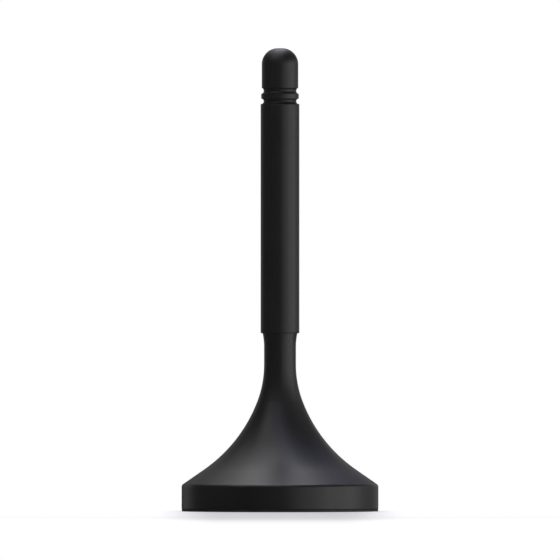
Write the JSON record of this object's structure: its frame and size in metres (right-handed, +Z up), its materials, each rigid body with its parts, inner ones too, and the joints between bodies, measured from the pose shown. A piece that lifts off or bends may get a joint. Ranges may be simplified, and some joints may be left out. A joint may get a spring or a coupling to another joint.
{
  "type": "cellular signal booster antenna",
  "caption": "Slim black whip antenna on a trumpet-flared round magnet base; the mast screws off the neck and a cable outlet sits low at the rear.",
  "frame": {"origin": "middle of the foot pad's underside, on the mast's axis", "axes": "+Z up along the mast, +Y towards the cable outlet, +X to the right seen from the front"},
  "size_m": [0.0432, 0.0448, 0.1016],
  "materials": {
    "black_shell": "satin moulded, fine texture",
    "soft_rubber": "matt moulded rubber",
    "zinc_steel": "bright zinc plate",
    "nickel_magnet": "nickel plate",
    "natural_nylon": "natural nylon",
    "seal_rubber": "matt rubber",
    "brass": "turned",
    "black_screw": "black zinc plate",
    "tinned_brass": "tin plate",
    "enamelled_copper": "enamelled wire",
    "board_green": "solder mask",
    "chip_ceramic": "fired ceramic with tinned ends",
    "black_mast": "satin moulded, fine texture",
    "ptfe": "waxy",
    "black_foam": "closed-cell foam"
  },
  "bodies": {
    "base": {"base_shell": "black_shell", "foot_pad": "soft_rubber", "steel_cup": "zinc_steel", "magnet_ring": "nickel_magnet", "magnet_centring_ring": "natural_nylon", "base_seal": "seal_rubber", "standoffs": "brass", "retaining_screws": "black_screw", "cable_grommet": "soft_rubber", "feed_bush": "brass", "bush_nut": "brass", "solder_tag": "tinned_brass", "lock_washer": "zinc_steel", "feed_wire": "enamelled_copper", "matching_board": "board_green", "matching_coil": "enamelled_copper", "chip_capacitors": "chip_ceramic", "braid_saddle": "tinned_brass"},
    "seal": {"mast_seal": "seal_rubber"},
    "mast": {"mast_ferrule": "brass", "mast_sleeve": "black_mast", "tip_cap": "black_mast", "loading_coil": "enamelled_copper", "upper_band_rod": "brass", "rod_insulator": "ptfe", "coil_spacer": "black_foam", "tip_cushion": "black_foam"}
  },
  "joints": [
    {"name": "mast_lift", "type": "slide", "parent": "base", "child": "seal", "axis": [0, 0, 1], "range_m": [0, 0.005]},
    {"name": "mast_unscrew", "type": "hinge", "parent": "seal", "child": "mast", "pos_m": [0, 0, 0.039], "axis": [0, 0, 1], "range_deg": [0, 3600]}
  ],
  "couplings": [
    {"joint": "mast_unscrew", "follows": "mast_lift", "rad_per_m": 12566}
  ]
}
